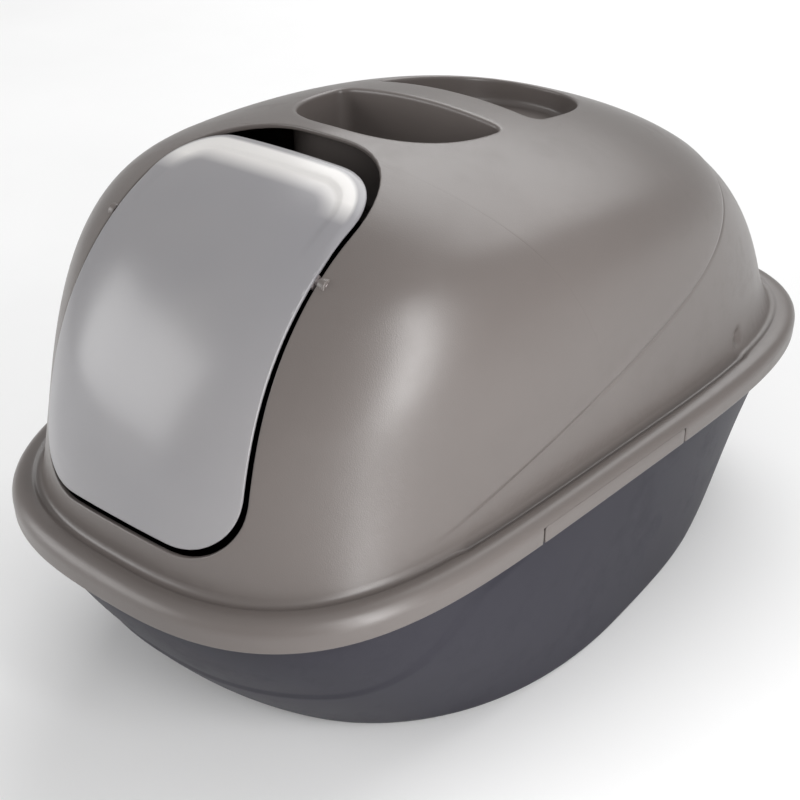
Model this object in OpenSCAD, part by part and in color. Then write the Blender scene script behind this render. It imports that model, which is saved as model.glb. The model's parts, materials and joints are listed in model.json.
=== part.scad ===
// Hooded cat litter box: an open tray, a domed hood that drops over its rim, and a swinging flap.
// Origin on the floor under the middle of the box, +Z up, the doorway faces -Y.

/* [Overall] */
// Length of the skirt from front to back
box_length = 620; // [580:5:660]
// Width of the skirt at its middle
box_width = 376; // [350:2:400]
// Height of the hood's lower edge above the floor
skirt_z = 136; // [125:1:150]
// Height of the roof's highest point
roof_z = 356; // [345:1:375]
// How much wider the rear of the box is than its middle, as a fraction
flare = 0.17; // [0.1:0.01:0.2]
// Thickness of the hood's and the tray's walls
wall = 3; // [2.5:0.1:4]

/* [Skirt] */
// Height of the skirt's upright face
skirt_face = 9; // [7:0.5:11]
// Radius of the skirt's rounded top edge
skirt_round = 10; // [8:0.5:12]
// Distance from the skirt's face to the foot of the dome
dome_inset = 19; // [17:0.5:21]
// Height of the foot of the dome above the skirt's lower edge
dome_rise = 22; // [21:0.5:24]

/* [Latches] */
// Front end of each latch tab
latch_front = -111; // [-130:1:-90]
// Rear end of each latch tab
latch_rear = 40; // [20:1:60]
// Height of each latch tab
latch_height = 12; // [10:0.5:14]
// Slit around each latch tab
latch_slit = 1.4; // [1:0.1:2]

/* [Flap] */
// Half of the flap's width near its lower edge
flap_half = 80; // [78:1:82]
// Half of the flap's width near its upper edge
flap_top_half = 77; // [75:1:78]
// Thickness of the flap
flap_thick = 3; // [2.5:0.1:4]
// How far the flap stands proud of the hood
flap_proud = 1; // [0.5:0.1:1.5]
// Gap between the flap and the doorway's sides
flap_gap = 2.2; // [2:0.1:2.6]
// Distance of the hinge axis in front of the middle
hinge_front = 197; // [196:0.5:199]
// Height of the hinge axis
hinge_z = 315.5; // [314.5:0.5:316.5]
// Radius of each hinge pin
pin_r = 2.2; // [2:0.1:2.5]
// Running clearance around each hinge pin
pin_play = 0.08; // [0.05:0.01:0.1]

/* [Handle] */
// Half of the width of the handle's two finger recesses
grip_half = 66; // [60:1:70]
// Width of the handle bar between the recesses
grip_bar = 36; // [30:1:40]
// Middle of the handle bar, behind the middle of the box
grip_mid = 11; // [5:1:15]
// Depth of the front recess from front to back
grip_front = 83; // [75:1:88]
// Depth of the rear recess from front to back
grip_rear = 106; // [90:1:112]
// Height of the floor of both recesses
grip_floor = 306; // [300:1:312]

/* [Filter] */
// Width of the filter holder
filter_w = 100; // [80:1:110]
// Length of the filter holder
filter_l = 150; // [130:1:160]
// Height of the filter holder
filter_h = 20; // [16:1:24]
// Thickness of the carbon pad
pad_h = 10; // [8:0.5:12]

/* [Hidden] */

HOOD_COLOUR = [0.53, 0.49, 0.48];
TRAY_COLOUR = [0.30, 0.30, 0.33];
FLAP_COLOUR = [0.66, 0.66, 0.67, 0.6];
PAD_COLOUR = [0.12, 0.12, 0.13];

half_l = box_length / 2;
half_w = box_width / 2;
dome_z = skirt_z + dome_rise;
tray_rim_inset = 9;
tray_lip_inset = 14;
tray_rim_z = skirt_z + 15;
segments = 72;
dome_steps = 14;
tray_steps = 10;

// Plan exponents of the rim: across and along, at the front and at the rear
RIM_SHAPE = [2.69, 5.43, 3.97, 3.36];
// Plan exponents at the top of the dome, front and rear
TOP_SHAPE = [2.51, 2.02];
// Where the dome's sections shrink to, behind the middle of the box
apex_y = -115;

function mix(a, b, t) = a + (b - a) * t;
function signed_pow(v, e) = sign(v) * pow(abs(v), e);
function shrink(u, p, q) = pow(max(1 - pow(u, p), 0), 1 / q);
function rise(v, p, q) = pow(1 - pow(1 - v, p), 1 / q);

// One point of a plan outline: an oval with its own exponents across (nx) and along (ny)
function oval_point(a, w, y_front, y_mid, y_rear, nx, ny, widen, z) =
    let (along = signed_pow(sin(a), 2 / ny),
         reach = sin(a) < 0 ? y_mid - y_front : y_rear - y_mid)
    [w * signed_pow(cos(a), 2 / nx) * (1 + widen * along), y_mid + reach * along, z];

function ring(w, y_front, y_mid, y_rear, front_shape, rear_shape, widen, z) =
    [for (i = [0 : segments - 1])
        let (a = 360 * i / segments, n = sin(a) < 0 ? front_shape : rear_shape)
        oval_point(a, w, y_front, y_mid, y_rear, n[0], n[1], widen, z)];

// The rim's outline, drawn in from the skirt's face by an inset
function rim_ring(inset, z) =
    ring(half_w - inset, -(half_l - inset), 0, half_l - inset,
         [RIM_SHAPE[0], RIM_SHAPE[1]], [RIM_SHAPE[2], RIM_SHAPE[3]], flare, z);

// The dome's section at height u, from 0 at its foot to 1 at the top of the roof
function dome_ring(u, inset) =
    let (blend = pow(u, 0.6), foot = pow(1 - u, 6),
         front = mix(RIM_SHAPE[0], TOP_SHAPE[0], blend), rear = mix(RIM_SHAPE[2], TOP_SHAPE[1], blend),
         reach = half_l - dome_inset - inset)
    ring((half_w - dome_inset - inset) * shrink(u, 6.21, 1.69),
         mix(apex_y, -reach, shrink(u, 2.16, 1.76)), apex_y * u, mix(apex_y, reach, shrink(u, 2.47, 2.12)),
         [front, front + (RIM_SHAPE[1] - RIM_SHAPE[0]) * foot],
         [rear, rear + (RIM_SHAPE[3] - RIM_SHAPE[2]) * foot],
         flare - 0.09 * pow(u, 0.93), mix(dome_z, roof_z - inset, u));

function dome_rings(inset) =
    [for (i = [0 : dome_steps]) dome_ring(0.9985 * (1 - pow(1 - i / dome_steps, 1.8)), inset)];

// The tray's section at height v, from 0 on the floor to 1 at the skirt's lower edge
function tray_ring(v, inset) =
    let (blend = pow(v, 1.89),
         front = mix(2.27, RIM_SHAPE[0], blend), rear = mix(3.03, RIM_SHAPE[2], blend))
    ring(mix(178, half_w - tray_rim_inset, rise(v, 1.94, 1.10)) - inset,
         inset - mix(219, half_l - tray_rim_inset, rise(v, 1.44, 1.09)), 0,
         mix(219, half_l - tray_rim_inset, rise(v, 2.56, 2.14)) - inset,
         [front, front + (RIM_SHAPE[1] - RIM_SHAPE[0]) * blend],
         [rear, rear + (RIM_SHAPE[3] - RIM_SHAPE[2]) * blend],
         mix(0.01, flare, blend), skirt_z * v);

// A closed solid through a stack of rings, lowest ring first
module skin(rings) {
    last = len(rings) - 1;
    sides = [for (k = [0 : last - 1], i = [0 : segments - 1])
                let (j = (i + 1) % segments, low = k * segments, high = low + segments)
                each [[low + i, high + i, high + j], [low + i, high + j, low + j]]];
    base = [for (i = [0 : segments - 1]) i];
    top = [for (i = [segments - 1 : -1 : 0]) last * segments + i];
    polyhedron([for (r = rings) each r], concat(sides, [base, top]));
}

// Everything inside is joined into one moulded skin
module moulded() resize([0, 0, 0]) union() children();

module both_sides() {
    children();
    mirror([1, 0, 0]) children();
}

// Cuts an outline through the slanted front of the dome, square to the slope
door_tilt = 50;
door_start = 296;
module through_front() rotate([door_tilt, 0, 0]) translate([0, 0, door_start]) linear_extrude(150) children();

module rounded_outline(low_half, high_half, low, high, low_r, high_r) hull() for (side = [-1, 1]) {
    translate([side * (low_half - low_r), low + low_r]) circle(low_r, $fn = 48);
    translate([side * (high_half - high_r), high - high_r]) circle(high_r, $fn = 48);
}

// Heights along the slanted front, from which the flap and its doorway are drawn
flap_low = -47;
flap_high = 185;
door_high = 205;
sill_gap = 4.5;
door_top_half = flap_top_half + flap_gap;

module doorway_outline() rounded_outline(flap_half + flap_gap, door_top_half,
                                         flap_low - sill_gap, door_high, 43, 60);
module flap_outline() rounded_outline(flap_half, flap_top_half, flap_low, flap_high, 40, 36);

// Outside of the dome, drawn in by an inset
module dome(inset) skin(dome_rings(inset));

module hood_outside() skin(concat(
    [rim_ring(0, skirt_z), rim_ring(0, skirt_z + skirt_face)],
    [for (a = [30, 60, 90])
        rim_ring(skirt_round * (1 - cos(a)), skirt_z + skirt_face + skirt_round * sin(a))],
    [rim_ring(dome_inset - 1, skirt_z + skirt_face + skirt_round + 1)],
    dome_rings(0)));

module hood_inside() skin(concat(
    [rim_ring(wall, skirt_z - 1), rim_ring(wall, skirt_z + skirt_face - 1),
     rim_ring(wall + 4, skirt_z + skirt_face + skirt_round - wall - 1),
     rim_ring(dome_inset + wall - 1, skirt_z + skirt_face + skirt_round - wall)],
    dome_rings(wall)));

// Plan of one finger recess: straight along the bar and rounded away from it
module grip_outline(reach) polygon([for (i = [0 : 24]) let (a = 180 * i / 24)
    [grip_half * signed_pow(cos(a), 0.85), reach * signed_pow(sin(a), 0.85)]]);

// Both recesses, from a floor upwards, made larger all round by grow
module grips(floor_z, grow) translate([0, grip_mid, floor_z]) linear_extrude(roof_z) {
    offset(delta = grow) translate([0, grip_bar / 2]) grip_outline(grip_rear);
    offset(delta = grow) translate([0, -grip_bar / 2]) mirror([0, 1]) grip_outline(grip_front);
}

// Slots that let air out of the filter through the floors of both recesses
vent_w = 4;
vent_l = 36;
vent_pitch = 12;
vent_from_bar = 10;
module vents() translate([0, grip_mid, grip_floor - 2 * wall]) for (side = [-1, 1], i = [-3 : 3])
    translate([i * vent_pitch, side * (grip_bar / 2 + vent_from_bar + vent_l / 2), 0])
        linear_extrude(3 * wall) square([vent_w, vent_l], center = true);

// The block of space in which a latch tab is cut out of the right side of the skirt
module latch_block(slit) translate([half_w / 2, latch_front - slit, skirt_z - 2])
    cube([half_w, latch_rear - latch_front + 2 * slit, latch_height + 2 + slit]);

module skirt_wall() difference() {
    hood_outside();
    hood_inside();
}

module hood() color(HOOD_COLOUR) moulded() difference() {
    hood_outside();
    difference() {
        hood_inside();
        grips(grip_floor - wall, wall);
    }
    grips(grip_floor, 0);
    vents();
    through_front() doorway_outline();
    both_sides() {
        latch_block(latch_slit);
        on_hinge(clip_start - 1) cylinder(h = clip_length + 2, r = pin_r + 0.5, $fn = 32);
    }
}

module latch() moulded() intersection() {
    skirt_wall();
    latch_block(0);
}
module latch_right() color(HOOD_COLOUR) latch();
module latch_left() color(HOOD_COLOUR) mirror([1, 0, 0]) latch();

// Heights of the tray's sections; the second is the level of its inner floor
tray_levels = concat([0, wall / skirt_z], [for (i = [1 : tray_steps]) i / tray_steps]);
tray_bead = 3;

module tray() color(TRAY_COLOUR) moulded() difference() {
    skin(concat([for (v = tray_levels) tray_ring(v, 0)],
                [rim_ring(tray_rim_inset, skirt_z + 5), rim_ring(tray_rim_inset - tray_bead, skirt_z + 6),
                 rim_ring(tray_rim_inset - tray_bead, skirt_z + 8), rim_ring(tray_lip_inset, skirt_z + 9),
                 rim_ring(tray_lip_inset, tray_rim_z)]));
    skin(concat([for (i = [1 : len(tray_levels) - 1]) tray_ring(tray_levels[i], wall)],
                [rim_ring(tray_rim_inset + wall, skirt_z + 5), rim_ring(tray_lip_inset + wall, skirt_z + 9),
                 rim_ring(tray_lip_inset + wall, tray_rim_z + 1)]));
}

module flap() color(FLAP_COLOUR) moulded() intersection() {
    difference() {
        dome(-flap_proud);
        dome(flap_thick - flap_proud);
    }
    through_front() flap_outline();
}

// Along the hinge axis on the right side, from x = start
module on_hinge(start) translate([start, -hinge_front, hinge_z]) rotate([0, 90, 0]) children();

knuckle_r = 4.5;
knuckle_length = 10;
knuckle_end = flap_top_half;
clip_start = door_top_half + 0.5;
clip_length = 5;
clip_r = 4.2;

// A knuckle on the flap's edge with the pin that stands out of it
module hinge_pin() {
    on_hinge(knuckle_end - knuckle_length) cylinder(h = knuckle_length, r = knuckle_r, $fn = 48);
    on_hinge(knuckle_end - 1) cylinder(h = clip_start + clip_length - knuckle_end + 1, r = pin_r, $fn = 48);
}

// The eye in the doorway's edge that the pin turns in
module hinge_clip() difference() {
    on_hinge(clip_start) cylinder(h = clip_length, r = clip_r, $fn = 48);
    on_hinge(clip_start - 1) cylinder(h = clip_length + 2, r = pin_r + pin_play, $fn = 48);
}

module hinge_pin_right() color(HOOD_COLOUR) hinge_pin();
module hinge_pin_left() color(HOOD_COLOUR) mirror([1, 0, 0]) hinge_pin();
module hinge_clip_right() color(HOOD_COLOUR) hinge_clip();
module hinge_clip_left() color(HOOD_COLOUR) mirror([1, 0, 0]) hinge_clip();

filter_top = grip_floor - wall;
filter_wall = 2.5;
grille_pitch = 14;
grille_slot = 8;

// An open box under the recess floors, with a slotted bottom
module filter_holder() color(HOOD_COLOUR) translate([0, grip_mid, filter_top - filter_h]) difference() {
    translate([-filter_w / 2, -filter_l / 2, 0]) cube([filter_w, filter_l, filter_h]);
    translate([-filter_w / 2 + filter_wall, -filter_l / 2 + filter_wall, filter_wall])
        cube([filter_w - 2 * filter_wall, filter_l - 2 * filter_wall, filter_h]);
    for (i = [-4 : 4]) translate([-filter_w / 2 + 10, i * grille_pitch - grille_slot / 2, -1])
        cube([filter_w - 20, grille_slot, filter_wall + 2]);
}

module filter_pad() color(PAD_COLOUR) translate([0, grip_mid, filter_top - filter_h + filter_wall])
    translate([-filter_w / 2 + filter_wall + 1, -filter_l / 2 + filter_wall + 1, 0])
        cube([filter_w - 2 * filter_wall - 2, filter_l - 2 * filter_wall - 2, pad_h]);

tray();
hood();
latch_left();
latch_right();
flap();
hinge_pin_left();
hinge_pin_right();
hinge_clip_left();
hinge_clip_right();
filter_holder();
filter_pad();
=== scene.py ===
# Looks for the hooded cat litter box: the moulded shells are rebuilt finely on the CAD frame.
import json
import math

import bpy
import numpy as np
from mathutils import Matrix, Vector
from mathutils.geometry import delaunay_2d_cdt


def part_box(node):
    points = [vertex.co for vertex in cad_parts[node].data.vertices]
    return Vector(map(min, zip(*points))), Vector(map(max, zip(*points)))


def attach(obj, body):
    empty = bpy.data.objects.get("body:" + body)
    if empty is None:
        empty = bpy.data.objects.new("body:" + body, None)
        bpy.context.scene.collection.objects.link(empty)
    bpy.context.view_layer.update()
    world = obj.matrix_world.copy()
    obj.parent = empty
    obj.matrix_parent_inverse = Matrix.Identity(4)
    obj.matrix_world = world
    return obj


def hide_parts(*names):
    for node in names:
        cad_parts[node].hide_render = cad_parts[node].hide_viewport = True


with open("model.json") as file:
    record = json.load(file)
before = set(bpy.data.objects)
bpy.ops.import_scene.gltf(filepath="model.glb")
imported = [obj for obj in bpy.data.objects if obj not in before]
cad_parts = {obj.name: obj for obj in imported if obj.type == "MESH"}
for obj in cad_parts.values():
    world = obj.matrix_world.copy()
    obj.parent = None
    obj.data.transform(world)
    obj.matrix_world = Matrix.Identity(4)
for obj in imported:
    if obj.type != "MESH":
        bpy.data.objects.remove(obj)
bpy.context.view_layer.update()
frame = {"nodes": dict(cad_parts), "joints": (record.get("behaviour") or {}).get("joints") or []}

# ---------------------------------------------------------------- sizes, in metres
MM = 0.001
hood_low, hood_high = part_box("hood")
tab_low, tab_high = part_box("latch_right")
filter_low, filter_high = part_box("filter_holder")

HALF_L = hood_high.y
HALF_W = 188 * MM
SKIRT_Z = hood_low.z
DOME_Z = SKIRT_Z + 22 * MM
# The CAD roof ends in a flat facet at this share of the dome's height
FACET_U = 0.9985
ROOF_Z = DOME_Z + (hood_high.z - DOME_Z) / FACET_U
TOP_U = 0.99999
WALL = 3 * MM
DOME_INSET = 19 * MM
SKIRT_FACE = 9 * MM
SKIRT_ROUND = 10 * MM
SKIRT_TOP = SKIRT_Z + SKIRT_FACE + SKIRT_ROUND
FLARE = 0.17
APEX_Y = -115 * MM

# Exponents of the oval outlines, across and along: the front half's, then the rear half's
RIM_SHAPE = (2.69, 5.43, 3.97, 3.36)
# Exponents near the roof, of the front and the rear half
TOP_SHAPE = (2.51, 2.02)
# Share of each half's length over which the two halves blend
HALVES_BLEND = 0.35

# The doorway is drawn on a plane that leans back by this angle
DOOR_TILT = math.radians(50)
DOOR_AXIS = np.array([0, -math.sin(DOOR_TILT), math.cos(DOOR_TILT)])
DOOR_UP = np.array([0, math.cos(DOOR_TILT), math.sin(DOOR_TILT)])
FLAP_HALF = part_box("flap")[1].x
FLAP_TOP_HALF = FLAP_HALF - 3 * MM
FLAP_LOW, FLAP_HIGH = -47 * MM, 185 * MM
FLAP_GAP = 2.2 * MM
FLAP_LOW_CORNER, FLAP_TOP_CORNER = 40 * MM, 36 * MM
DOOR_LOW, DOOR_HIGH = FLAP_LOW - 4.5 * MM, 205 * MM
DOOR_LOW_CORNER, DOOR_TOP_CORNER = 43 * MM, 60 * MM
FLAP_PROUD = 1 * MM

GRIP_HALF = 66 * MM
GRIP_BAR = 36 * MM
GRIP_MID = (filter_low.y + filter_high.y) / 2
GRIP_FRONT, GRIP_REAR = 83 * MM, 106 * MM
GRIP_CORNER = 9 * MM
GRIP_FLOOR = filter_high.z + WALL

HINGE = next(j for j in frame["joints"] if j["name"] == "flap_swing")["pos_m"]


# ---------------------------------------------------------------- shape functions
def mix(a, b, t):
    return a + (b - a) * t


def signed_pow(v, e):
    return np.sign(v) * np.abs(v) ** e


def shrink(u, p, q):
    """From 1 at u = 0 to 0 at u = 1."""
    return np.maximum(1 - u ** p, 0) ** (1 / q)


def rise(v, p, q):
    """From 0 at v = 0 to 1 at v = 1."""
    return (1 - (1 - v) ** p) ** (1 / q)


def smooth(t):
    t = np.clip(t, 0, 1)
    return t * t * (3 - 2 * t)


def oval(a, w, y_front, y_mid, y_rear, nx, ny, widen):
    """Plan point of an oval with its own exponents across and along."""
    along = signed_pow(np.sin(a), 2 / ny)
    reach = np.where(np.sin(a) < 0, y_mid - y_front, y_rear - y_mid)
    return w * signed_pow(np.cos(a), 2 / nx) * (1 + widen * along), y_mid + reach * along


def rim_point(a, inset, z):
    """Points of the skirt's outline, moved inwards by inset."""
    front = np.sin(a) < 0
    nx = np.where(front, RIM_SHAPE[0], RIM_SHAPE[2])
    ny = np.where(front, RIM_SHAPE[1], RIM_SHAPE[3])
    x, y = oval(a, HALF_W - inset, inset - HALF_L, 0, HALF_L - inset, nx, ny, FLARE)
    return np.stack([x, y, z + 0 * a], -1)


def dome_section(u):
    """Half width, front, middle, rear and flare of the dome's section at height u."""
    reach = HALF_L - DOME_INSET
    return ((HALF_W - DOME_INSET) * shrink(u, 6.21, 1.69), mix(APEX_Y, -reach, shrink(u, 2.16, 1.76)),
            APEX_Y * u, mix(APEX_Y, reach, shrink(u, 2.47, 2.12)), FLARE - 0.09 * u ** 0.93)


def dome_exponents(u, rear):
    """Exponents of the dome's section: the front half's at rear = 0, the rear half's at 1."""
    blend, foot = u ** 0.6, (1 - u) ** 6
    nx = mix(mix(RIM_SHAPE[0], TOP_SHAPE[0], blend), mix(RIM_SHAPE[2], TOP_SHAPE[1], blend), rear)
    return nx, nx + mix(RIM_SHAPE[1] - RIM_SHAPE[0], RIM_SHAPE[3] - RIM_SHAPE[2], rear) * foot


def section_width(u, along):
    """Half width of the section at along, from -1 at the front to 1; the halves blend in the middle."""
    nx, ny = dome_exponents(u, smooth(0.5 + along / (2 * HALVES_BLEND)))
    return np.maximum(1 - np.abs(along) ** ny, 0) ** (1 / nx)


def dome_point(a, u):
    """Points of the dome at parameter a round it and at share u of its height."""
    w, y_front, y_mid, y_rear, widen = dome_section(u)
    nx, ny = dome_exponents(u, np.sin(a) >= 0)
    along = signed_pow(np.sin(a), 2 / ny)
    across = np.where(np.abs(along) < HALVES_BLEND, section_width(u, along), np.abs(np.cos(a)) ** (2 / nx))
    y = y_mid + np.where(along < 0, y_mid - y_front, y_rear - y_mid) * along
    return np.stack([np.sign(np.cos(a)) * w * across * (1 + widen * along), y, mix(DOME_Z, ROOF_Z, u)], -1)


def dome_angle(p):
    """The (a, u) of a point on the dome, from its y and z and the side that its x is on."""
    u = np.clip((p[..., 2] - DOME_Z) / (ROOF_Z - DOME_Z), 0, TOP_U)
    front = p[..., 1] < APEX_Y * u
    _, y_front, y_mid, y_rear, _ = dome_section(u)
    ny = dome_exponents(u, ~front)[1]
    along = (p[..., 1] - y_mid) / np.where(front, y_mid - y_front, y_rear - y_mid)
    along = np.clip(along, -1, 1)
    sin_a = signed_pow(along, ny / 2)
    cos_a = np.sqrt(1 - np.abs(along) ** ny) * np.where(p[..., 0] < 0, -1, 1)
    return np.arctan2(sin_a, cos_a), u


def in_dome(p):
    """Whether points lie inside the dome's outer face."""
    u = (p[..., 2] - DOME_Z) / (ROOF_Z - DOME_Z)
    inside = (u > -0.2) & (u < 1)
    u = np.clip(u, 0, TOP_U)
    front = p[..., 1] < APEX_Y * u
    w, y_front, y_mid, y_rear, widen = dome_section(u)
    along = (p[..., 1] - y_mid) / np.where(front, y_mid - y_front, y_rear - y_mid)
    edge = w * section_width(u, along) * (1 + widen * along)
    return inside & (np.abs(along) < 1) & (np.abs(p[..., 0]) < edge)


HALVINGS = 40


def onto_dome(start, direction, length):
    """Where rays from outside, along direction, meet the dome within length."""
    near, far = np.zeros(len(start)), np.full(len(start), length)
    for _ in range(HALVINGS):
        middle = (near + far) / 2
        inside = in_dome(start + middle[:, None] * direction)
        far = np.where(inside, middle, far)
        near = np.where(inside, near, middle)
    return start + far[:, None] * direction


def door_to_dome(flat):
    """Points drawn as (x, height along the slanted front), carried onto the dome."""
    start = flat[:, :1] * [1, 0, 0] + flat[:, 1:] * DOOR_UP + 450 * MM * DOOR_AXIS
    return onto_dome(start, -DOOR_AXIS, 150 * MM)


def plan_to_dome(flat):
    """Points drawn in plan, carried down onto the dome."""
    start = np.column_stack([flat, np.full(len(flat), 400 * MM)])
    return onto_dome(start, np.array([0, 0, -1.0]), 200 * MM)


# ---------------------------------------------------------------- outlines
CORNER_STEPS = 12


def rounded_outline(low_half, high_half, low, high, low_r, high_r, spacing):
    """Closed counter-clockwise outline of an upright shape with rounded corners, at even steps."""
    corners = [(low_half - low_r, low + low_r, low_r, -90), (high_half - high_r, high - high_r, high_r, 0),
               (high_r - high_half, high - high_r, high_r, 90), (low_r - low_half, low + low_r, low_r, 180)]
    points = []
    for x, y, r, first in corners:
        for k in range(CORNER_STEPS + 1):
            angle = math.radians(first + 90 * k / CORNER_STEPS)
            points.append((x + r * math.cos(angle), y + r * math.sin(angle)))
    return even(np.array(points), spacing)


def length_round(points):
    """A closed line with its first point repeated at the end, and the length along it at each point."""
    closed = np.vstack([points, points[:1]])
    steps = np.linalg.norm(np.diff(closed, axis=0), axis=1)
    return closed, np.concatenate([[0], np.cumsum(steps)])


def even(points, spacing):
    """A closed line resampled at even steps."""
    closed, length = length_round(points)
    count = int(round(length[-1] / spacing))
    at = np.arange(count) * length[-1] / count
    return np.column_stack([np.interp(at, length, closed[:, i]) for i in range(2)])


def grown(points, distance):
    """A closed counter-clockwise line moved outwards."""
    along = np.roll(points, -1, 0) - np.roll(points, 1, 0)
    along /= np.linalg.norm(along, axis=1)[:, None]
    return points + distance * np.column_stack([along[:, 1], -along[:, 0]])


def door_outline(grow):
    """The doorway on its slanted plane."""
    base = rounded_outline(FLAP_HALF + FLAP_GAP, FLAP_TOP_HALF + FLAP_GAP, DOOR_LOW, DOOR_HIGH,
                           DOOR_LOW_CORNER, DOOR_TOP_CORNER, 4 * MM)
    return grown(base, grow)


def grip_outline(side, grow=0.0):
    """Plan of the rear (side 1) or front (side -1) finger recess."""
    reach = GRIP_REAR if side > 0 else GRIP_FRONT
    a = np.radians(np.arange(0, 180.1, 3))
    x = GRIP_HALF * signed_pow(np.cos(a), 0.85)
    y = GRIP_CORNER + (reach - GRIP_CORNER) * signed_pow(np.sin(a), 0.85)
    b = np.radians(np.arange(10, 90, 10))
    left = np.column_stack([-GRIP_HALF + GRIP_CORNER * (1 - np.cos(b)), GRIP_CORNER * (1 - np.sin(b))])
    right = np.column_stack([-left[::-1, 0], left[::-1, 1]])
    points = np.vstack([np.column_stack([x, y]), left, right])
    points[:, 1] = GRIP_MID + side * (GRIP_BAR / 2 + points[:, 1])
    return grown(even(points[::side], 3.5 * MM), grow)


def inside_line(points, line):
    """Which points lie inside a closed line."""
    x, y = points[:, 0], points[:, 1]
    result = np.zeros(len(points), bool)
    for (x0, y0), (x1, y1) in zip(line, np.roll(line, -1, 0)):
        crosses = (y0 > y) != (y1 > y)
        if y1 != y0:
            result ^= crosses & (x < (x1 - x0) * (y - y0) / (y1 - y0) + x0)
    return result


def distance_to_line(points, line):
    """Distance of each point from a closed line."""
    best = np.full(len(points), 1e9)
    for p, q in zip(line, np.roll(line, -1, 0)):
        along = q - p
        t = np.clip(((points - p) @ along) / max(along @ along, 1e-12), 0, 1)
        best = np.minimum(best, np.linalg.norm(points - p - t[:, None] * along, axis=1))
    return best


def triangulate(loops, loose, clear):
    """Delaunay triangles through closed loops and loose points that keep clear of them."""
    keep = np.ones(len(loose), bool)
    for loop in loops:
        keep &= distance_to_line(loose, loop) > clear
    loose = loose[keep]
    points = np.vstack(loops + [loose])
    edges, start = [], 0
    for loop in loops:
        edges += [(start + i, start + (i + 1) % len(loop)) for i in range(len(loop))]
        start += len(loop)
    out = delaunay_2d_cdt([Vector(p) for p in points], edges, [], 0, 1e-9)
    flat = np.array([v[:] for v in out[0]])
    return flat, np.array(out[2])


# ---------------------------------------------------------------- mesh gathering
WELD = 2e-3 * MM
ROUND_STEPS = 4


class Skin:
    """Vertices and faces gathered from patches; patches that share points are welded."""

    def __init__(self):
        self.points, self.faces, self.count = [], [], 0

    def patch(self, points, faces):
        self.points.append(np.asarray(points, float))
        self.faces += [tuple(int(i) + self.count for i in f) for f in faces]
        self.count += len(points)

    def rows(self, rows, closed=True):
        """Quads between successive rows of points."""
        rows = [np.asarray(r) for r in rows]
        n = len(rows[0])
        faces = []
        for k in range(len(rows) - 1):
            for i in range(n if closed else n - 1):
                j = (i + 1) % n
                faces.append((k * n + i, k * n + j, (k + 1) * n + j, (k + 1) * n + i))
        self.patch(np.vstack(rows), faces)

    def welded(self):
        points = np.vstack(self.points)
        keys = np.round(points / WELD).astype(np.int64)
        _, first, index = np.unique(keys, axis=0, return_index=True, return_inverse=True)
        index = index.reshape(-1)
        faces = []
        for f in self.faces:
            g = [int(index[i]) for i in f]
            g = [v for k, v in enumerate(g) if v != g[k - 1]]
            if len(g) > 2:
                faces.append(tuple(g))
        return points[first], faces


def normals_of(points, faces):
    """Normals at the points, from triangles and quads weighted by area."""
    total = np.zeros_like(points)
    for size in (3, 4):
        group = np.array([f for f in faces if len(f) == size], int).reshape(-1, size)
        if not len(group):
            continue
        p = points[group]
        n = np.cross(p[:, 2] - p[:, 0], p[:, -1] - p[:, 1])
        for k in range(size):
            np.add.at(total, group[:, k], n)
    return total / np.maximum(np.linalg.norm(total, axis=1), 1e-15)[:, None]


def boundary_loops(faces):
    """Each open edge loop, running the way its faces run."""
    edges = set()
    for f in faces:
        for a, b in zip(f, f[1:] + f[:1]):
            edges.add((a, b))
    after = {}
    for a, b in edges:
        if (b, a) not in edges:
            after[a] = b
    loops = []
    while after:
        loop, here = [], min(after)
        while here in after:
            loop.append(here)
            here = after.pop(here)
        loops.append(loop)
    return loops


def shell(skin, thickness_at, rounding_at):
    """A closed wall from an open skin: the skin, its copy moved inwards, and rounded rims between them."""
    points, faces = skin.welded()
    normals = normals_of(points, faces)
    count = len(points)
    inner = points - thickness_at(points)[:, None] * normals
    solid = Skin()
    solid.patch(np.vstack([points, inner]), faces + [tuple(i + count for i in f[::-1]) for f in faces])
    for loop in boundary_loops(faces):
        loop = np.array(loop)
        p, n, q = points[loop], normals[loop], inner[loop]
        rounding = rounding_at(p)[:, None]
        along = np.roll(p, -1, 0) - np.roll(p, 1, 0)
        out = np.cross(along, n)
        out /= np.linalg.norm(out, axis=1)[:, None]
        rows = [p]
        for k in range(1, ROUND_STEPS + 1):
            angle = math.pi / 2 * k / ROUND_STEPS
            rows.append(p + rounding * (out * math.sin(angle) - n * (1 - math.cos(angle))))
        for k in range(ROUND_STEPS + 1):
            angle = math.pi / 2 * (1 - k / ROUND_STEPS)
            rows.append(q + rounding * (out * math.sin(angle) + n * (1 - math.cos(angle))))
        solid.rows(rows[::-1])
    return solid.welded()


def piece(name, mesh_data, body, material, nodes):
    """A visual piece that rides on a body and takes the place of the CAD nodes."""
    points, faces = mesh_data
    mesh = bpy.data.meshes.new(name)
    mesh.from_pydata([tuple(p) for p in points], [], faces)
    mesh.validate()
    mesh.shade_smooth()
    obj = bpy.data.objects.new(name, mesh)
    bpy.context.scene.collection.objects.link(obj)
    mesh.materials.append(material)
    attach(obj, body)
    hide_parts(*nodes)


# ---------------------------------------------------------------- the dome as a flat map
def rim_angles(spacing):
    """Parameters of points at even steps round the rim."""
    # The samples crowd towards the quarter marks, where the oval spreads them out
    quarter = np.linspace(0, 1, 3000)
    eased = quarter ** 4 / (quarter ** 4 + (1 - quarter) ** 4)
    a = np.concatenate([math.pi / 2 * (k + eased[:-1]) for k in range(4)])
    length = length_round(rim_point(a, 0, 0))[1]
    count = int(length[-1] / spacing)
    return np.interp(np.arange(count) * length[-1] / count, length, np.append(a, 2 * math.pi))


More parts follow.
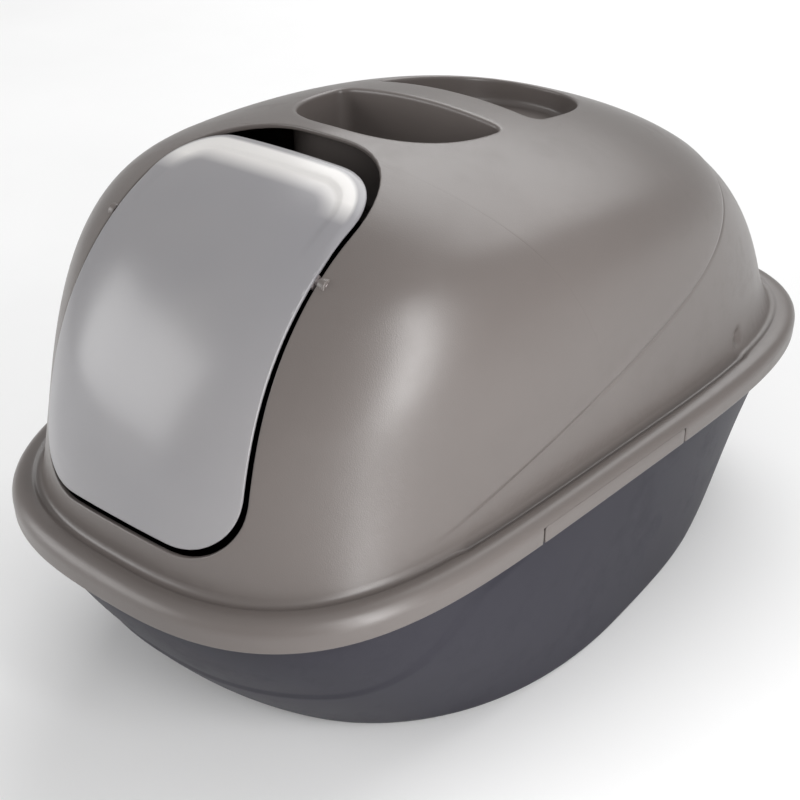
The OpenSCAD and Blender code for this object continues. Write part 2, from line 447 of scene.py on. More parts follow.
MAP_A = rim_angles(0.5 * MM)
MAP_RING = dome_point(MAP_A, 0 * MAP_A)[:, :2]
MAP_TURN = np.unwrap(np.arctan2(MAP_RING[:, 1], MAP_RING[:, 0]))
MAP_U = 1 - np.linspace(1, 0, 2000) ** 2
SECTION = dome_section(MAP_U)
MEAN_REACH = (SECTION[0] - SECTION[1] + SECTION[3]) / 3
MAP_S = np.concatenate([[0], np.cumsum(np.hypot(np.diff(MEAN_REACH), np.diff(MAP_U) * (ROOF_Z - DOME_Z)))])
MAP_RHO = 1 - MAP_S / MAP_S[-1]


def to_map(a, u):
    """The flat map's point: the foot of the dome is the map's edge, the roof's top its middle."""
    ring = dome_point(a, 0 * a)[:, :2]
    return ring * np.interp(u, MAP_U, MAP_RHO)[:, None]


def from_map(flat):
    """Points on the dome from points of the map."""
    turn = np.arctan2(flat[:, 1], flat[:, 0])
    turn = np.where(turn < MAP_TURN[0], turn + 2 * math.pi, turn)
    a = np.interp(turn, np.append(MAP_TURN, MAP_TURN[0] + 2 * math.pi), np.append(MAP_A, 2 * math.pi))
    edge = dome_point(a, 0 * a)[:, :2]
    rho = np.linalg.norm(flat, axis=1) / np.linalg.norm(edge, axis=1)
    u = np.interp(-rho, -MAP_RHO, MAP_U)
    return dome_point(a, np.clip(u, 0, TOP_U))


def mapped(points):
    """The map's points for points on the dome."""
    return to_map(*dome_angle(points))


# ---------------------------------------------------------------- relief on the dome
CREASE_WIDTH = 1.4 * MM
CREASE_DEPTH = 1.1 * MM
# Cosine of the crease's slope, which turns a height above it into a distance from it
CREASE_COS = 0.956
PANEL_DROP = 1.3 * MM
PANEL_EDGE = 2.6 * MM
# The relief fades out over this height towards the foot of the dome
RELIEF_FADE = 26 * MM
DIMPLE = np.array([178, 148, 167]) * MM
DIMPLE_R = 5.2 * MM
DIMPLE_DEPTH = 4.6 * MM


def crease_z(y):
    """Height of the crease on the dome's sides: it climbs to the rear."""
    return 215 * MM + 0.305 * y + 0.15 * y * y


def dome_relief(p):
    """How far the dome stands out: less at the panel under the crease, at the crease and at the dimples."""
    h = (p[:, 2] - crease_z(p[:, 1])) * CREASE_COS
    foot = smooth((p[:, 2] - DOME_Z) / RELIEF_FADE)
    drop = PANEL_DROP * smooth((1 * MM - h) / PANEL_EDGE)
    groove = CREASE_DEPTH * np.exp(-(h / CREASE_WIDTH) ** 2)
    to_dimple = np.linalg.norm(np.abs(p) * [1, 0, 0] + p * [0, 1, 1] - DIMPLE, axis=1)
    return -(drop + groove) * foot - DIMPLE_DEPTH * np.exp(-(to_dimple / DIMPLE_R) ** 2)


def dimple_points():
    """Close points in the map round the small dimple at the rear of each side."""
    fine = hex_grid(np.full(2, -2 * DIMPLE_R), np.full(2, 2 * DIMPLE_R), 1.2 * MM)
    fine = fine[np.linalg.norm(fine, axis=1) < 2 * DIMPLE_R]
    return np.vstack([fine + centre for centre in mapped(DIMPLE * [[1, 1, 1], [-1, 1, 1]])])


def crease_points():
    """Points in rows beside the crease, so that its edges are crisp."""
    rows = []
    a = rim_angles(2.4 * MM)
    foot_y = dome_point(a, 0 * a)[:, 1]
    a = a[crease_z(foot_y) > DOME_Z + 4 * MM]
    for h in (-4.5, -2.6, -1.6, -0.8, 0, 0.8, 1.8, 4):
        low, high = np.zeros(len(a)), np.ones(len(a)) * 0.9999
        for _ in range(HALVINGS):
            u = (low + high) / 2
            p = dome_point(a, u)
            above = p[:, 2] - crease_z(p[:, 1]) > h * MM / CREASE_COS
            high, low = np.where(above, u, high), np.where(above, low, u)
        rows.append(to_map(a, (low + high) / 2))
    return np.vstack(rows)


def hex_grid(low, high, spacing):
    """Points of a triangular grid between two corners."""
    x = np.arange(low[0], high[0], spacing)
    y = np.arange(low[1], high[1], spacing * 0.866)
    gx, gy = np.meshgrid(x, y)
    gx[1::2] += spacing / 2
    return np.column_stack([gx.ravel(), gy.ravel()])


def far_from(points, others, distance, batch=1000):
    """The points that keep a distance from all the others, found in batches to save memory."""
    keep = np.ones(len(points), bool)
    for start in range(0, len(points), batch):
        part = points[start:start + batch]
        gap = np.linalg.norm(part[:, None] - others[None], axis=2).min(1)
        keep[start:start + batch] = gap > distance
    return points[keep]


# ---------------------------------------------------------------- hood
EDGE_R = 0.9 * MM
TIGHT_R = 0.1 * MM
GRIP_R = 3.2 * MM
DOME_GRID, DOME_GRID_GAP = 3.8 * MM, 2.4 * MM
FLOOR_INSET = 5 * MM
TAB_FRONT, TAB_REAR = tab_low.y, tab_high.y
TAB_TOP = tab_high.z
SLIT = 1.4 * MM
# Heights of the skirt's upright rows, and how many strips between rows the latch windows take
FACE_ROWS = (EDGE_R, 3 * MM, 6 * MM, SKIRT_FACE)
WINDOW_ROWS = 5
# Points of the rim further from the middle than this are on its sides
SIDE_X = 0.15
# The groove at the dome's foot: the ends of its deep part, its depths and the wall left under it
GROOVE_FRONT, GROOVE_REAR = -178 * MM, 156 * MM
GROOVE_DEPTH = 3.2 * MM
GROOVE_SHALLOW = 1 * MM
GROOVE_WALL = 1 * MM


def hood_rounding(p):
    """Edge radius along the hood's open edges: small over the latch tabs, which bend there."""
    over_tab = (p[:, 1] > TAB_FRONT) & (p[:, 1] < TAB_REAR) & (np.abs(p[:, 2] - TAB_TOP) < 1 * MM)
    return np.where(over_tab, TIGHT_R, EDGE_R)


def skirt_angles(spacing):
    """Parameters round the skirt, with samples exactly on the latch slits' edges."""
    a = rim_angles(spacing)
    marks = []
    for y in (TAB_FRONT - SLIT - EDGE_R, TAB_FRONT + EDGE_R, TAB_REAR - EDGE_R, TAB_REAR + SLIT + EDGE_R):
        ny = RIM_SHAPE[1] if y < 0 else RIM_SHAPE[3]
        sin_a = signed_pow(y / HALF_L, ny / 2)
        marks += [math.asin(sin_a) % (2 * math.pi), math.pi - math.asin(sin_a)]
    marks = np.array(marks)
    at_mark, at_a = rim_point(marks, 0, 0), rim_point(a, 0, 0)
    gap = np.linalg.norm(at_a[:, None] - at_mark[None], axis=2).min(1)
    return np.sort(np.concatenate([a[gap > 0.4 * spacing], marks]))


def groove_depths(a):
    """Depth of the groove at the dome's foot, deepest along the sides, and of the dimples at its ends."""
    x, y, _ = rim_point(a, 0, 0).T
    beside = np.abs(x) > 0.1
    fade = 8 * MM
    side = smooth((y - GROOVE_FRONT) / fade) * smooth((GROOVE_REAR - y) / fade) * beside
    front_end = np.exp(-((y - GROOVE_FRONT - fade) / (4 * MM)) ** 2)
    rear_end = np.exp(-((y - GROOVE_REAR + fade) / (6 * MM)) ** 2)
    groove = mix(GROOVE_SHALLOW, GROOVE_DEPTH, side)
    return groove, GROOVE_DEPTH * np.minimum(front_end + rear_end, 1) * beside


def skirt_rows(a):
    """Rows of the skirt's outer face, from its lower edge to the foot of the dome."""
    rows = [rim_point(a, 0, SKIRT_Z + h) for h in FACE_ROWS]
    over_tab = TAB_TOP + 2.5 * TIGHT_R - SKIRT_Z - SKIRT_FACE
    tab_gap = math.degrees(math.asin(over_tab / SKIRT_ROUND))
    for degree in (8, tab_gap, 28, 40, 52, 65, 78, 90):
        t = math.radians(degree)
        height = SKIRT_Z + SKIRT_FACE + SKIRT_ROUND * math.sin(t)
        rows.append(rim_point(a, SKIRT_ROUND * (1 - math.cos(t)), height))
    groove, dimple = groove_depths(a)
    # Inset and climb in mm, and the shares of the groove's and the dimples' depth
    for inset, along, at_ends, climb in ((12, 0, 0, 0), (12.9, 0.1, 0.5, 0), (13.8, 0.7, 1, 0),
                                         (15, 1, 1, 0), (16.4, 0.97, 1, 0), (17.4, 0.75, 1, 0.2),
                                         (18.2, 0.2, 0.6, 0.9), (18.7, 0, 0, 1.8)):
        row = rim_point(a, inset * MM, SKIRT_TOP)
        row[:, 2] += climb * MM - np.maximum(along * groove, at_ends * dimple)
        rows.append(row)
    rows.append(dome_point(a, 0 * a))
    return rows


def inside_rim(p, inset):
    """Whether points lie within the rim's outline, moved inwards."""
    front = p[:, 1] < 0
    nx, ny = np.where(front, RIM_SHAPE[0], RIM_SHAPE[2]), np.where(front, RIM_SHAPE[1], RIM_SHAPE[3])
    along = np.clip(p[:, 1] / (HALF_L - inset), -1, 1)
    half = (HALF_W - inset) * (1 - np.abs(along) ** ny) ** (1 / nx) * (1 + FLARE * along)
    return np.abs(p[:, 0]) < half


def hood_thickness(p):
    """The wall is thinner under the groove, where the tray's rim comes close."""
    in_groove = inside_rim(p, 12.4 * MM) & (p[:, 2] < SKIRT_TOP - 0.05 * MM)
    return np.where(in_groove, GROOVE_WALL, WALL)


def door_loop(grow):
    """Outline of the doorway in the map."""
    return mapped(door_to_dome(door_outline(grow)))


def grip_loop(side, grow):
    """Outline of a finger recess in the map."""
    return mapped(plan_to_dome(grip_outline(side, grow)))


def dome_patch(a):
    """The dome without its doorway and finger recesses."""
    edge = to_map(a, 0 * a)
    holes = [door_loop(EDGE_R)] + [grip_loop(s, GRIP_R) for s in (1, -1)]
    near = [door_loop(g * MM) for g in (2.2, 4.2)]
    near += [grip_loop(s, GRIP_R + g * MM) for s in (1, -1) for g in (1.6, 4)]
    crease = crease_points()
    for hole in holes:
        crease = crease[~inside_line(crease, hole)]
        near = [n[~inside_line(n, hole)] for n in near]
    fixed = np.vstack([crease, dimple_points()] + near)
    fixed = far_from(fixed, edge, 1.5 * MM)
    grid = hex_grid(edge.min(0), edge.max(0), DOME_GRID)
    grid = grid[inside_line(grid, edge)]
    for hole in holes:
        grid = grid[~inside_line(grid, hole)]
    grid = far_from(grid, np.vstack([fixed, edge] + holes), DOME_GRID_GAP)
    flat, faces = triangulate([edge] + holes, np.vstack([fixed, grid]), 0.6 * MM)
    middle = flat[faces].mean(1)
    # Slivers right on the edge lie outside where the edge is slightly hollow
    keep = inside_line(middle, edge) & (distance_to_line(middle, edge) > 0.05 * MM)
    for hole in holes:
        keep &= ~inside_line(middle, hole)
    faces = faces[keep]
    points = from_map(flat)
    normals = normals_of(points, [tuple(f) for f in faces])
    points += normals * dome_relief(points)[:, None]
    # The points on open edges sit exactly where the neighbouring patches put them
    points[:len(a)] = dome_point(a, 0 * a)
    return points, faces


def grip_rows(side, start):
    """Rows of one finger recess, from the dome's points at its lip down the wall to its floor."""
    edge = plan_to_dome(grip_outline(side, 0))
    below = edge - [0, 0, GRIP_R]
    rows = [start]
    # The lip: a curve that leaves the dome and turns down into the wall
    for t in (0.2, 0.4, 0.6, 0.8, 1.0):
        rows.append((1 - t) ** 2 * start + 2 * t * (1 - t) * edge + t * t * below)
    for t in (0.33, 0.67):
        row = edge.copy()
        row[:, 2] = mix(below[:, 2], GRIP_FLOOR + 5 * MM, t)
        rows.append(row)
    # Inset and height over the floor, in mm, of the rounded foot of the wall
    for inset, height in ((0, 5), (0.4, 3), (1.5, 1.4), (3, 0.4), (5, 0)):
        flat = grip_outline(side, -inset * MM)
        rows.append(np.column_stack([flat, np.full(len(flat), GRIP_FLOOR + height * MM)]))
    return rows


def vent_outlines(side):
    """Slots in a recess floor over the filter."""
    slots = []
    half_width, half_length, corner = 2 * MM, 18 * MM, 1.99 * MM
    for i in range(-3, 4):
        slot = rounded_outline(half_width, half_width, -half_length, half_length, corner, corner, 1.6 * MM)
        slots.append(slot + [i * 12 * MM, GRIP_MID + side * (GRIP_BAR / 2 + 28 * MM)])
    return slots


def grip_floor(side):
    """A recess's floor with its slots."""
    edge = grip_outline(side, -FLOOR_INSET)
    slots = vent_outlines(side)
    grid = hex_grid(edge.min(0), edge.max(0), 6 * MM)
    grid = grid[inside_line(grid, edge)]
    flat, faces = triangulate([edge] + slots, grid, 2.5 * MM)
    middle = flat[faces].mean(1)
    keep = inside_line(middle, edge)
    for slot in slots:
        keep &= ~inside_line(middle, slot)
    return np.column_stack([flat, np.full(len(flat), GRIP_FLOOR)]), faces[keep]


def facing(points, faces, up):
    """Faces turned so that their mean normal goes along up."""
    p = points[np.array([f[:3] for f in faces])]
    mean = np.cross(p[:, 1] - p[:, 0], p[:, 2] - p[:, 0]).sum(0)
    step = 1 if mean @ np.array(up) > 0 else -1
    return [tuple(f[::step]) for f in faces]


def hood_skin(a):
    """The hood's outer face: the skirt with windows for the latch tabs, the dome and the recesses."""
    skin = Skin()
    rows = skirt_rows(a)
    n = len(a)
    x, y, _ = rim_point(a, 0, 0).T
    middle = (y + np.roll(y, -1)) / 2
    in_window = (middle > TAB_FRONT - SLIT - EDGE_R) & (middle < TAB_REAR + SLIT + EDGE_R)
    in_window &= np.abs(x) > SIDE_X
    faces = []
    for k in range(len(rows) - 1):
        for i in range(n):
            if k < WINDOW_ROWS and in_window[i]:
                continue
            j = (i + 1) % n
            faces.append((k * n + i, k * n + j, (k + 1) * n + j, (k + 1) * n + i))
    skin.patch(np.vstack(rows), faces)
    points, faces = dome_patch(a)
    skin.patch(points, facing(points, faces, (0, 0, 1)))
    start = n + len(door_outline(EDGE_R))
    for side in (1, -1):
        count = len(grip_outline(side))
        wall = grip_rows(side, points[start:start + count])
        start += count
        recess = Skin()
        recess.rows(wall)
        skin.patch(recess.points[0], facing(recess.points[0], recess.faces, (0, 0, 1)))
        floor, floor_faces = grip_floor(side)
        skin.patch(floor, facing(floor, floor_faces, (0, 0, 1)))
    return skin


def tab_skin(a, side):
    """The outer face of one latch tab."""
    x, y, _ = rim_point(a, 0, 0).T
    chosen = (y > TAB_FRONT + 0.5 * EDGE_R) & (y < TAB_REAR - 0.5 * EDGE_R) & (x * side > SIDE_X)
    a = a[chosen][np.argsort(y[chosen] * side)]
    rows = [rim_point(a, 0, SKIRT_Z + h) for h in FACE_ROWS]
    t = math.asin((TAB_TOP - TIGHT_R - SKIRT_Z - SKIRT_FACE) / SKIRT_ROUND)
    rows.append(rim_point(a, SKIRT_ROUND * (1 - math.cos(t)), TAB_TOP - TIGHT_R))
    skin = Skin()
    skin.rows(rows, closed=False)
    return skin


# ---------------------------------------------------------------- flap
FLAP_EDGE_R = 1.2 * MM
# The raised band: its height, the depths from the flap's edge between which it runs, the width of its
# slopes, and the height on the flap where it starts to grow and the stretch over which it does
BAND_RISE = 1.3 * MM
BAND_FROM, BAND_TO = 1 * MM, 11.5 * MM
BAND_SLOPE = 3 * MM
BAND_START, BAND_FADE = 118 * MM, 30 * MM


def flap_outline(grow):
    """The flap on the doorway's slanted plane."""
    base = rounded_outline(FLAP_HALF, FLAP_TOP_HALF, FLAP_LOW, FLAP_HIGH,
                           FLAP_LOW_CORNER, FLAP_TOP_CORNER, 3 * MM)
    return grown(base, grow)


def flap_skin():
    """The curved door, proud of the dome, with a raised band along its top edge."""
    outline = flap_outline(0)
    edge = flap_outline(-FLAP_EDGE_R)
    near = np.vstack([flap_outline(-g * MM) for g in (2.4, 3.6, 5, 8, 11, 12.5, 14, 16, 19)])
    grid = hex_grid(edge.min(0), edge.max(0), 5 * MM)
    grid = grid[inside_line(grid, flap_outline(-21 * MM))]
    flat, faces = triangulate([edge], np.vstack([near, grid]), 0.3 * MM)
    middle = flat[faces].mean(1)
    faces = faces[inside_line(middle, edge)]
    points = door_to_dome(flat)
    faces = facing(points, faces, DOOR_AXIS)
    normals = normals_of(points, faces)
    depth = distance_to_line(flat, outline)
    band = smooth((depth - BAND_FROM) / BAND_SLOPE) * (1 - smooth((depth - BAND_TO) / BAND_SLOPE))
    band *= smooth((flat[:, 1] - BAND_START) / BAND_FADE)
    points += normals * (FLAP_PROUD + BAND_RISE * band)[:, None]
    skin = Skin()
    skin.patch(points, faces)
    return skin


def flap_rounding(p):
    return np.full(len(p), FLAP_EDGE_R)


# ---------------------------------------------------------------- tray
TRAY_INSET = 9 * MM
BASE_HALF_W, BASE_HALF_L = 178 * MM, 219 * MM
STEP_DROP, STEP_WIDTH = 1.3 * MM, 4 * MM


def tray_ring(a, v, inset=0.0):
    """Points round the tray at share v of its height, moved inwards by inset."""
    blend = v ** 1.89
    front = np.sin(a) < 0
    nx = np.where(front, mix(2.27, RIM_SHAPE[0], blend), mix(3.03, RIM_SHAPE[2], blend))
    ny = nx + np.where(front, RIM_SHAPE[1] - RIM_SHAPE[0], RIM_SHAPE[3] - RIM_SHAPE[2]) * blend
    w = mix(BASE_HALF_W, HALF_W - TRAY_INSET, rise(v, 1.94, 1.10)) - inset
    y_front = inset - mix(BASE_HALF_L, HALF_L - TRAY_INSET, rise(v, 1.44, 1.09))
    y_rear = mix(BASE_HALF_L, HALF_L - TRAY_INSET, rise(v, 2.56, 2.14)) - inset
    x, y = oval(a, w, y_front, 0, y_rear, nx, ny, mix(0.01, FLARE, blend))
    return np.stack([x, y, SKIRT_Z * v + 0 * a], -1)


def tray_relief(p):
    """A soft step that sweeps from the skirt down to the front; below it the wall stands out."""
    step_z = 64 * MM + 58 * MM * smooth((p[:, 1] + 236 * MM) / (90 * MM))
    step_z += 0.2 * np.maximum(p[:, 1] + 146 * MM, 0)
    return -STEP_DROP * smooth((p[:, 2] - step_z + 1.5 * MM) / STEP_WIDTH)


def tray_mesh():
    """The tray: its outer wall, its rim inside the skirt, its inner wall, the floor and the base."""
    a = rim_angles(4.5 * MM)
    levels = np.unique(np.concatenate([np.linspace(0.0, 0.08, 5), np.linspace(0.08, 1, 58)]))
    outer = [tray_ring(a, v) for v in levels]
    # The edge of the base is rounded
    outer[0] = tray_ring(a, 0.0, 2.5 * MM)
    outer.insert(1, tray_ring(a, 0.008, 0.7 * MM))
    wall = Skin()
    wall.rows(outer)
    points = np.vstack(outer)
    points += normals_of(points, wall.faces) * tray_relief(points)[:, None]
    rows = list(points.reshape(len(outer), len(a), 3))
    # Inset and height above the skirt's lower edge, in mm, round the bead and the upright lip
    rim_profile = ((9, 4.6), (8, 5.1), (6.6, 5.6), (6, 6.3), (6, 7.5), (6.6, 8.4), (8, 9), (12.8, 9.2),
                   (13.7, 9.8), (14, 10.8), (14, 13.5), (14.4, 14.3), (15.5, 14.5), (16.6, 14.3),
                   (17, 13.5), (17, 10), (16, 8.4), (13, 5.5), (12, 3))
    rows += [rim_point(a, inset * MM, SKIRT_Z + h * MM) for inset, h in rim_profile]
    rows += [tray_ring(a, v, WALL) for v in np.linspace(1, 0.09, 30)]
    rows += [tray_ring(a, WALL / SKIRT_Z * s, inset * MM) for s, inset in ((2.2, 5.5), (1.3, 10), (1, 16))]
    skin = Skin()
    skin.rows(rows)
    for ring, step in ((rows[-1], 1), (rows[0], -1)):
        disc = [ring * [s, s, 1] for s in (1, 0.9, 0.75, 0.6, 0.45, 0.3, 0.15, 0.04)]
        skin.rows(disc[::step])
        skin.patch(disc[-1], [tuple(range(len(a)))[::step]])
    return skin.welded()


# ---------------------------------------------------------------- turned and softened small pieces
def turned(profile, segments=48):
    """Rings about the hinge axis, one for each (x, radius) of a profile."""
    t = np.arange(segments) * 2 * math.pi / segments
    return [np.stack([x + 0 * t, HINGE[1] + r * np.cos(t), HINGE[2] + r * np.sin(t)], -1) for x, r in profile]


def rounded_steps(x0, x1, r, soft):
    """A profile stretch from x0 to x1 at radius r with rounded ends."""
    steps = [math.radians(d) for d in (0, 30, 60, 90)]
    start = [(x0 + soft - soft * math.cos(t), r - soft + soft * math.sin(t)) for t in steps]
    end = [(x1 - soft + soft * math.sin(t), r - soft + soft * math.cos(t)) for t in steps]
    return start + end


def closed_turned(profile):
    """A solid of revolution with flat ends."""
    skin = Skin()
    rows = turned(profile)
    skin.rows(rows)
    n = len(rows[0])
    skin.patch(rows[0], [tuple(range(n - 1, -1, -1))])
    skin.patch(rows[-1], [tuple(range(n))])
    return skin.welded()


def ring_turned(profile):
    """A ring of revolution from a profile that closes on itself."""
    skin = Skin()
    skin.rows(turned(profile + profile[:1]))
    return skin.welded()


def outward(mesh_data):
    """Turns every face so that the closed mesh has positive volume."""
    points, faces = mesh_data
    volume = sum(points[f[0]] @ np.cross(points[f[k]], points[f[k + 1]])
                 for f in faces for k in range(1, len(f) - 1))
    return (points, faces) if volume > 0 else (points, [f[::-1] for f in faces])


def mirrored(mesh_data):
    """The same mesh on the other side of the middle."""
    points, faces = mesh_data
    return points * [-1, 1, 1], [f[::-1] for f in faces]


def softened(node, width):
    """A copy of a CAD piece with its edges rounded."""
    mesh = frame["nodes"][node].data.copy()
    obj = bpy.data.objects.new(node + "_fine", mesh)
    bpy.context.scene.collection.objects.link(obj)
    weld = obj.modifiers.new("weld", "WELD")
    weld.merge_threshold = 0.01 * MM
    bevel = obj.modifiers.new("bevel", "BEVEL")
    bevel.width = width
    bevel.segments = 3
    bevel.limit_method = "ANGLE"
    graph = bpy.context.evaluated_depsgraph_get()
    done = bpy.data.meshes.new_from_object(obj.evaluated_get(graph))
    obj.modifiers.clear()
    obj.data = done
    return obj


# ---------------------------------------------------------------- materials
PLASTIC_IOR = 1.5


def srgb(r, g, b):
    """A colour given in display values, as the shader wants it."""
    return tuple((c / 12.92 if c <= 0.04045 else ((c + 0.055) / 1.055) ** 2.4) for c in (r, g, b)) + (1.0,)


class Shader:
    """A node material built step by step."""

    def __init__(self, name):
        self.material = bpy.data.materials.new(name)
        self.material.use_nodes = True
        self.tree = self.material.node_tree
        self.main = self.tree.nodes["Principled BSDF"]
        self.place = self.tree.nodes.new("ShaderNodeTexCoord").outputs["Object"]

    def link(self, a, b):
        self.tree.links.new(a, b)

    def noise(self, scale, detail=3.0, roughness=0.55):
        node = self.tree.nodes.new("ShaderNodeTexNoise")
        node.inputs["Scale"].default_value = scale
        node.inputs["Detail"].default_value = detail
        node.inputs["Roughness"].default_value = roughness
        self.link(self.place, node.inputs["Vector"])
        return node.outputs["Fac"]

    def cells(self, scale):
        node = self.tree.nodes.new("ShaderNodeTexVoronoi")
        node.inputs["Scale"].default_value = scale
        self.link(self.place, node.inputs["Vector"])
        return node.outputs["Distance"]

    def spread(self, value, low, high, from_low=0.3, from_high=0.7):
        """A value between from_low and from_high, carried to low and high and held there beyond."""
        node = self.tree.nodes.new("ShaderNodeMapRange")
        self.link(value, node.inputs["Value"])
        for key, number in (("From Min", from_low), ("From Max", from_high),
                            ("To Min", low), ("To Max", high)):
            node.inputs[key].default_value = number
        return node.outputs["Result"]

    def blend(self, factor, a, b):
        """A mix of two colours or colour sockets."""
        node = self.tree.nodes.new("ShaderNodeMix")
        node.data_type = "RGBA"
        self.link(factor, node.inputs["Factor"])
        colour_a, colour_b, mixed = node.inputs[6], node.inputs[7], node.outputs[2]
        for socket, value in ((colour_a, a), (colour_b, b)):
            if isinstance(value, tuple):
                socket.default_value = value
            else:
                self.link(value, socket)
        return mixed

    def bump(self, height, strength, distance, under=None):
        node = self.tree.nodes.new("ShaderNodeBump")
        node.inputs["Strength"].default_value = strength
        node.inputs["Distance"].default_value = distance
        self.link(height, node.inputs["Height"])
        if under is not None:
            self.link(under, node.inputs["Normal"])
        return node.outputs["Normal"]

    def math(self, operation, a, b=0.0):
        """A math node on two sockets or numbers."""
        node = self.tree.nodes.new("ShaderNodeMath")
        node.operation = operation
        for socket, value in zip(node.inputs, (a, b)):
            if isinstance(value, float):
                socket.default_value = value
            else:
                self.link(value, socket)
        return node.outputs[0]

    def times(self, a, b):
        return self.math("MULTIPLY", a, b)

    def flap_top_distance(self):
        """Distance from the centres of the flap's rounded upper corners, and height above them."""
        split = self.tree.nodes.new("ShaderNodeSeparateXYZ")
        self.link(self.place, split.inputs[0])
        x, y, z = split.outputs
        height = self.math("ADD", self.times(y, DOOR_UP[1]), self.times(z, DOOR_UP[2]))
        up = self.math("MAXIMUM", self.math("SUBTRACT", height, FLAP_HIGH - FLAP_TOP_CORNER), 0.0)
        beside = self.math("SUBTRACT", self.math("ABSOLUTE", x), FLAP_TOP_HALF - FLAP_TOP_CORNER)
        beside = self.math("MAXIMUM", beside, 0.0)
        total = self.math("ADD", self.times(up, up), self.times(beside, beside))
        return self.math("SQRT", total), up

    def edge_wear(self):
        """1 on worn outer edges, broken up by noise."""
        geometry = self.tree.nodes.new("ShaderNodeNewGeometry")
        edge = self.spread(geometry.outputs["Pointiness"], 0.0, 1.0, 0.52, 0.60)
        return self.times(edge, self.spread(self.noise(90.0), 0.0, 1.0, 0.4, 0.65))


def moulded(name, dark, light, worn, roughness, gloss):
    """Injection-moulded plastic: faint mottling, a fine grain, light scuffs and worn edges."""
    s = Shader(name)
    base = s.blend(s.spread(s.noise(7.0, 4.0), 0.0, 1.0), dark, light)
    base = s.blend(s.times(s.edge_wear(), 0.35), base, worn)
    s.link(base, s.main.inputs["Base Color"])
    scuffs = s.spread(s.noise(26.0, 6.0, 0.7), 0.0, 0.09, 0.5, 0.75)
    cloudy = s.spread(s.noise(4.0), roughness - 0.03, roughness + 0.03)
    s.link(s.math("ADD", scuffs, cloudy), s.main.inputs["Roughness"])
    broad = s.bump(s.noise(9.0, 2.0), 0.10, 4 * MM)
    s.link(s.bump(s.cells(1500.0), 0.12, 0.3 * MM, broad), s.main.inputs["Normal"])
    s.main.inputs["IOR"].default_value = PLASTIC_IOR
    s.main.inputs["Specular IOR Level"].default_value = gloss
    return s.material


def frosted(name):
    """Smoky translucent plastic: cloudy and finely frosted, with a painted highlight: the raised band along
    the top is painted paler, standing in for the light that the upward-facing lip catches.
    """
    s = Shader(name)
    base = s.blend(s.noise(5.0, 3.0), srgb(0.57, 0.565, 0.59), srgb(0.69, 0.68, 0.68))
    # Mask of the painted highlight: the raised band inside the rounded upper corners, fading in above them
    reach, up = s.flap_top_distance()
    band = s.times(s.spread(reach, 0.0, 1.0, FLAP_TOP_CORNER - 24 * MM, FLAP_TOP_CORNER - 14 * MM),
                   s.spread(reach, 1.0, 0.0, FLAP_TOP_CORNER - 5 * MM, FLAP_TOP_CORNER - 3 * MM))
    band = s.times(band, s.spread(up, 0.0, 1.0, 0.0, 14 * MM))
    # Painted highlight: the raised top band is painted near-white for the light that the upward-facing lip
    # catches
    base = s.blend(band, base, srgb(0.97, 0.96, 0.95))
    s.link(base, s.main.inputs["Base Color"])
    s.link(s.bump(s.noise(220.0, 2.0), 0.12, 0.4 * MM), s.main.inputs["Normal"])
    s.main.inputs["Roughness"].default_value = 0.31
    s.main.inputs["Transmission Weight"].default_value = 0.3
    s.main.inputs["IOR"].default_value = PLASTIC_IOR
    s.main.inputs["Coat Weight"].default_value = 0.35
    s.main.inputs["Coat Roughness"].default_value = 0.22
    return s.material


def felt(name):
    """Dark fibrous felt."""
    s = Shader(name)
    base = s.blend(s.noise(260.0, 6.0, 0.7), srgb(0.07, 0.07, 0.08), srgb(0.20, 0.20, 0.21))
    s.link(base, s.main.inputs["Base Color"])
    s.link(s.spread(s.noise(120.0), 0.85, 0.98), s.main.inputs["Roughness"])
    s.link(s.bump(s.noise(420.0, 6.0, 0.8), 0.8, 1 * MM), s.main.inputs["Normal"])
    return s.material


def floor_material(name):
    s = Shader(name)
    base = s.blend(s.noise(3.0), srgb(0.93, 0.93, 0.93), srgb(0.96, 0.96, 0.96))
    s.link(base, s.main.inputs["Base Color"])
    s.main.inputs["Roughness"].default_value = 0.7
    return s.material


hood_plastic = moulded("hood_plastic", srgb(0.395, 0.370, 0.358), srgb(0.412, 0.386, 0.374),
                       srgb(0.50, 0.475, 0.465), roughness=0.33, gloss=0.55)
tray_plastic = moulded("tray_plastic", srgb(0.150, 0.145, 0.180), srgb(0.170, 0.165, 0.200),
                       srgb(0.23, 0.225, 0.25), roughness=0.5, gloss=0.3)
flap_plastic = frosted("flap_plastic")
pin_plastic = moulded("pin_plastic", srgb(0.60, 0.56, 0.56), srgb(0.64, 0.60, 0.60),
                      srgb(0.8, 0.78, 0.78), roughness=0.3, gloss=0.5)
carbon_felt = felt("carbon_felt")

# ---------------------------------------------------------------- pieces
angles = skirt_angles(5 * MM)
hood_mesh = shell(hood_skin(angles), hood_thickness, hood_rounding)
piece("hood_shell", hood_mesh, "hood", hood_plastic, ["hood"])
for side, name in ((1, "latch_right"), (-1, "latch_left")):
    tab_mesh = shell(tab_skin(angles, side), hood_thickness, hood_rounding)
    piece(name + "_tab", tab_mesh, name, hood_plastic, [name])
flap_mesh = shell(flap_skin(), hood_thickness, flap_rounding)
piece("flap_door", flap_mesh, "flap", flap_plastic, ["flap"])
piece("tray_pan", tray_mesh(), "tray", tray_plastic, ["tray"])

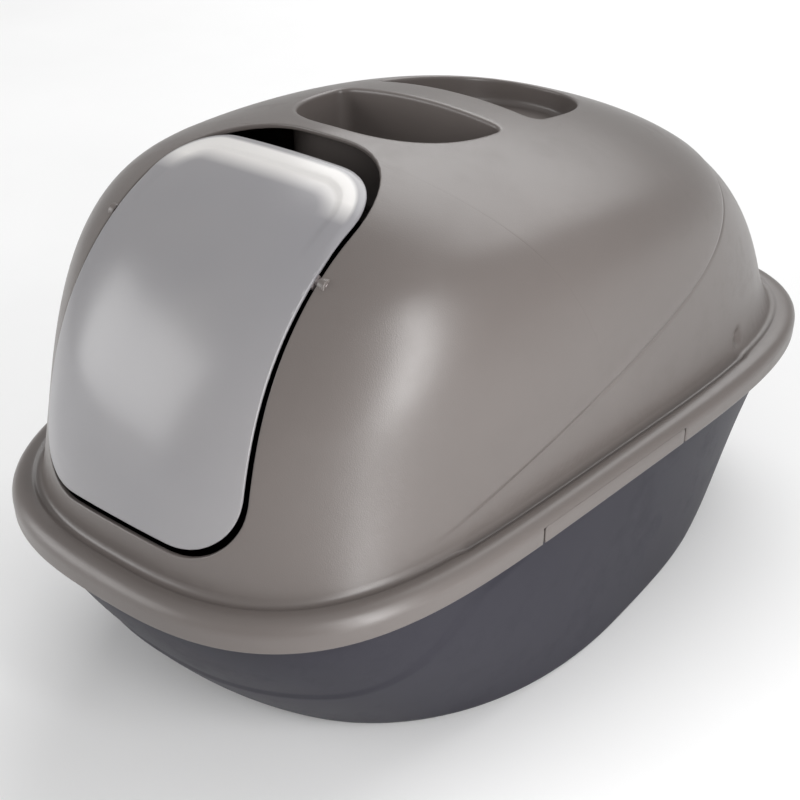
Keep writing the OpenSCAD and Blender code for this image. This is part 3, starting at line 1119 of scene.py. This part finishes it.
PIN_R, PIN_PLAY = 2.2 * MM, 0.08 * MM
pin_low, pin_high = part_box("hinge_pin_right")
clip_low, clip_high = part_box("hinge_clip_right")
knuckle_r = (pin_high.z - pin_low.z) / 2
knuckle = rounded_steps(pin_low.x, FLAP_TOP_HALF, knuckle_r, 1 * MM)
pin_foot = (FLAP_TOP_HALF + 0.1 * MM, PIN_R)
pin_end = rounded_steps(FLAP_TOP_HALF, pin_high.x, PIN_R, 0.6 * MM)[4:]
pin_mesh = outward(closed_turned(knuckle + [pin_foot] + pin_end))
clip_r = (clip_high.z - clip_low.z) / 2
clip_outside = rounded_steps(clip_low.x, clip_high.x, clip_r, 0.8 * MM)
clip_bore = [(clip_high.x, PIN_R + PIN_PLAY), (clip_low.x, PIN_R + PIN_PLAY)]
clip_mesh = outward(ring_turned(clip_outside + clip_bore))
turned_pieces = (("hinge_pin", pin_mesh, "flap", "pin_plastic", pin_plastic),
                 ("hinge_clip", clip_mesh, "hood", "hood_plastic", hood_plastic))
for name, mesh_data, body, slot, material in turned_pieces:
    piece(name + "_right_turned", mesh_data, body, material, [name + "_right"])
    piece(name + "_left_turned", mirrored(mesh_data), body, material, [name + "_left"])

for node, width, slot, material in (("filter_holder", 0.8 * MM, "hood_plastic", hood_plastic),
                                    ("filter_pad", 2.5 * MM, "carbon_felt", carbon_felt)):
    fine = softened(node, width)
    fine.data.materials.clear()
    fine.data.materials.append(material)
    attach(fine, "hood")
    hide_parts(node)


# ---------------------------------------------------------------- floor, light and camera
def area_light(name, place, target, size, power):
    data = bpy.data.lights.new(name, "AREA")
    data.shape = "RECTANGLE"
    data.size, data.size_y = size
    data.energy = power
    obj = bpy.data.objects.new(name, data)
    bpy.context.scene.collection.objects.link(obj)
    obj.location = place
    obj.rotation_euler = (Vector(target) - Vector(place)).to_track_quat("-Z", "Y").to_euler()


bpy.ops.mesh.primitive_plane_add(size=12)
floor = bpy.context.object
floor.name = "floor"
floor.data.materials.append(floor_material("floor_paint"))

world = bpy.data.worlds.new("studio")
bpy.context.scene.world = world
world.use_nodes = True
world.node_tree.nodes["Background"].inputs["Color"].default_value = (1, 1, 1, 1)
world.node_tree.nodes["Background"].inputs["Strength"].default_value = 0.4

# Places, aims and sizes in metres, powers in watts
area_light("overhead", (-0.4, 2.4, 2.8), (0, 0.4, 0), size=(4.0, 3.0), power=105)
area_light("key", (-1.7, -1.8, 0.9), (0, 0, 0.18), size=(2.0, 1.4), power=30)
area_light("strip", (0.78, -0.33, 0.52), (0, -0.2, 0.52), size=(0.14, 1.0), power=7)

camera_data = bpy.data.cameras.new("camera")
camera = bpy.data.objects.new("camera", camera_data)
bpy.context.scene.collection.objects.link(camera)
turn, tilt, distance = math.radians(37.71), math.radians(31.21), 0.915
aim = Vector((0, -0.0173, 0.1357))
away = Vector((math.sin(turn) * math.cos(tilt), -math.cos(turn) * math.cos(tilt), math.sin(tilt)))
camera.location = aim + distance * away
camera.rotation_euler = away.to_track_quat("Z", "Y").to_euler()
camera_data.sensor_width = 36
camera_data.lens = 56.25
camera_data.shift_x = -0.0125
camera_data.shift_y = -0.0140
bpy.context.scene.camera = camera
bpy.context.scene.view_settings.view_transform = "Standard"
